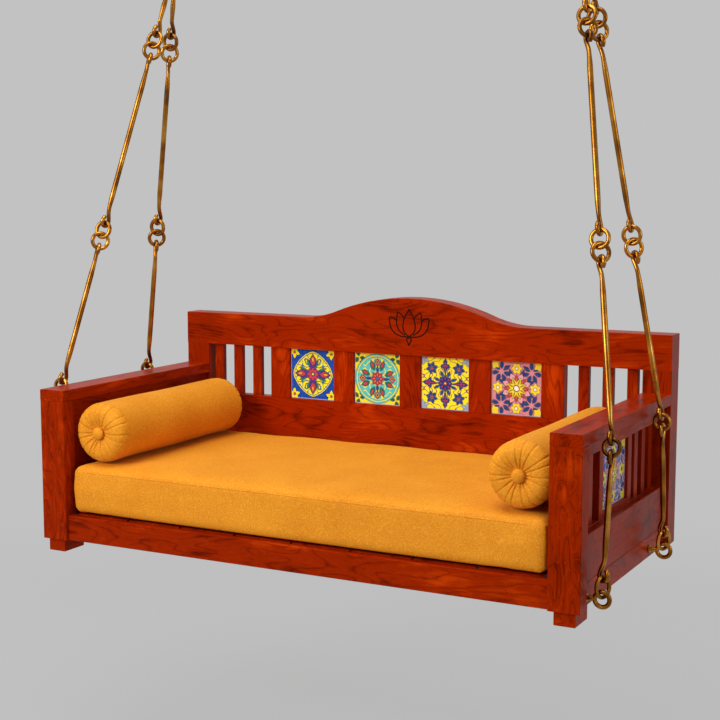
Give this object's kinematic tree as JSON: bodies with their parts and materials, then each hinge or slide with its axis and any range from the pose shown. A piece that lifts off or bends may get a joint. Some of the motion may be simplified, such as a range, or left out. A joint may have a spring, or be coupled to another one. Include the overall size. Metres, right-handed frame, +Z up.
{
  "type": "hanging swing bench",
  "caption": "Hardwood swing bench with tiled back and arms, a cushioned seat and round bolsters, hung from the ceiling on jointed brass rods and rings.",
  "frame": {"origin": "on the ceiling, midway between the two hooks", "axes": "+X along the bench to its right end as seen from the front, +Y from the front of the bench to its back, +Z up"},
  "size_m": [1.6294, 0.762, 1.67],
  "materials": {
    "mahogany": "gloss",
    "plywood": "matte",
    "antique_brass": "polished",
    "mustard_fabric": "matte",
    "tile_blue": "gloss",
    "tile_turquoise": "gloss",
    "tile_yellow": "gloss",
    "tile_pink": "gloss"
  },
  "bodies": {
    "ceiling": {"ceiling_plates": "antique_brass", "ceiling_hooks": "antique_brass"},
    "ceiling_rings": {"ceiling_rings": "antique_brass"},
    "left_hangers": {"left_top_rods": "antique_brass", "left_top_rings": "antique_brass", "left_upper_rods": "antique_brass", "left_mid_rings": "antique_brass", "left_middle_rods": "antique_brass"},
    "right_hangers": {"right_top_rods": "antique_brass", "right_top_rings": "antique_brass", "right_upper_rods": "antique_brass", "right_mid_rings": "antique_brass", "right_middle_rods": "antique_brass"},
    "mattress": {"mattress": "mustard_fabric"},
    "left_bolster": {"left_bolster": "mustard_fabric", "left_bolster_buttons": "mustard_fabric"},
    "right_bolster": {"right_bolster": "mustard_fabric", "right_bolster_buttons": "mustard_fabric"},
    "bench": {"arm_ledgers": "mahogany", "arm_linings": "mahogany", "arm_rails": "mahogany", "arm_rings": "antique_brass", "arm_slats": "mahogany", "arm_stiles": "mahogany", "arm_tile_backs": "plywood", "arm_tile_strips": "mahogany", "back_bottom_rail": "mahogany", "back_low_rail": "mahogany", "back_slats": "mahogany", "back_stiles": "mahogany", "back_tile_1": "tile_blue", "back_tile_2": "tile_turquoise", "back_tile_3": "tile_yellow", "back_tile_4": "tile_pink", "back_tile_backs": "plywood", "crest_rail": "mahogany", "eye_bolts": "antique_brass", "feet": "mahogany", "front_posts": "mahogany", "front_rail": "mahogany", "left_arm_cap": "mahogany", "left_arm_tile": "tile_blue", "long_links": "antique_brass", "lower_rods": "antique_brass", "nuts": "antique_brass", "rear_posts": "mahogany", "right_arm_cap": "mahogany", "right_arm_tile": "tile_blue", "seat_bearer": "mahogany", "seat_boards": "mahogany", "side_boards": "mahogany", "side_rails": "mahogany", "washers": "antique_brass"}
  },
  "joints": [
    {"name": "swing", "type": "hinge", "parent": "ceiling", "child": "ceiling_rings", "pos_m": [0, 0, -0.074], "axis": [1, 0, 0], "range_deg": [-20, 20]},
    {"name": "sway", "type": "hinge", "parent": "ceiling_rings", "child": "left_hangers", "pos_m": [-0.6, 0, -0.12023], "axis": [0, 1, 0], "range_deg": [-5, 5]},
    {"name": "bench_level", "type": "hinge", "parent": "left_hangers", "child": "bench", "pos_m": [-0.7877, -0.09288, -1.22934], "axis": [0, 1, 0], "range_deg": [-4, 4]},
    {"name": "right_sway", "type": "hinge", "parent": "bench", "child": "right_hangers", "pos_m": [0.78774, -0.09289, -1.26633], "axis": [0, 1, 0], "range_deg": [-4, 4]},
    {"name": "mattress_lift", "type": "slide", "parent": "bench", "child": "mattress", "axis": [0, 0, 1], "range_m": [0, 0.2]},
    {"name": "left_bolster_lift", "type": "slide", "parent": "mattress", "child": "left_bolster", "axis": [0, 0, 1], "range_m": [0, 0.12]},
    {"name": "right_bolster_lift", "type": "slide", "parent": "mattress", "child": "right_bolster", "axis": [0, 0, 1], "range_m": [0, 0.12]}
  ],
  "couplings": [
    {"joint": "bench_level", "follows": "sway", "ratio": -0.7646},
    {"joint": "right_sway", "follows": "sway", "ratio": 0.73993}
  ]
}
